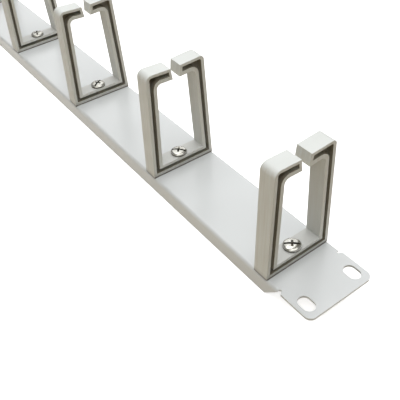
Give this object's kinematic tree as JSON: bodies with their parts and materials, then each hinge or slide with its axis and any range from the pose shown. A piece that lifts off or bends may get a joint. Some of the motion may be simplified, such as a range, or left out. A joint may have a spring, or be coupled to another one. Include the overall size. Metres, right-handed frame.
{
  "type": "horizontal cable manager",
  "caption": "Folded rack panel with a row of open rings in front that hold cables run across the rack.",
  "frame": {"origin": "middle of the length and width, level with the edges of the panel's flanges", "axes": "+X along the panel, +Y across it, +Z out of its front face, towards the rings"},
  "size_m": [0.4826, 0.044, 0.0803],
  "materials": {
    "panel_paint": "light grey powder coat, semi-gloss",
    "ring_plastic": "light warm grey moulded plastic, low sheen",
    "zinc_steel": "bright zinc plate"
  },
  "bodies": {
    "root": {"panel": "panel_paint", "ring_1": "ring_plastic", "ring_2": "ring_plastic", "ring_3": "ring_plastic", "ring_4": "ring_plastic", "ring_5": "ring_plastic", "screw_1": "zinc_steel", "screw_2": "zinc_steel", "screw_3": "zinc_steel", "screw_4": "zinc_steel", "screw_5": "zinc_steel", "lock_washer_1": "zinc_steel", "lock_washer_2": "zinc_steel", "lock_washer_3": "zinc_steel", "lock_washer_4": "zinc_steel", "lock_washer_5": "zinc_steel", "nut_1": "zinc_steel", "nut_2": "zinc_steel", "nut_3": "zinc_steel", "nut_4": "zinc_steel", "nut_5": "zinc_steel"}
  },
  "joints": []
}
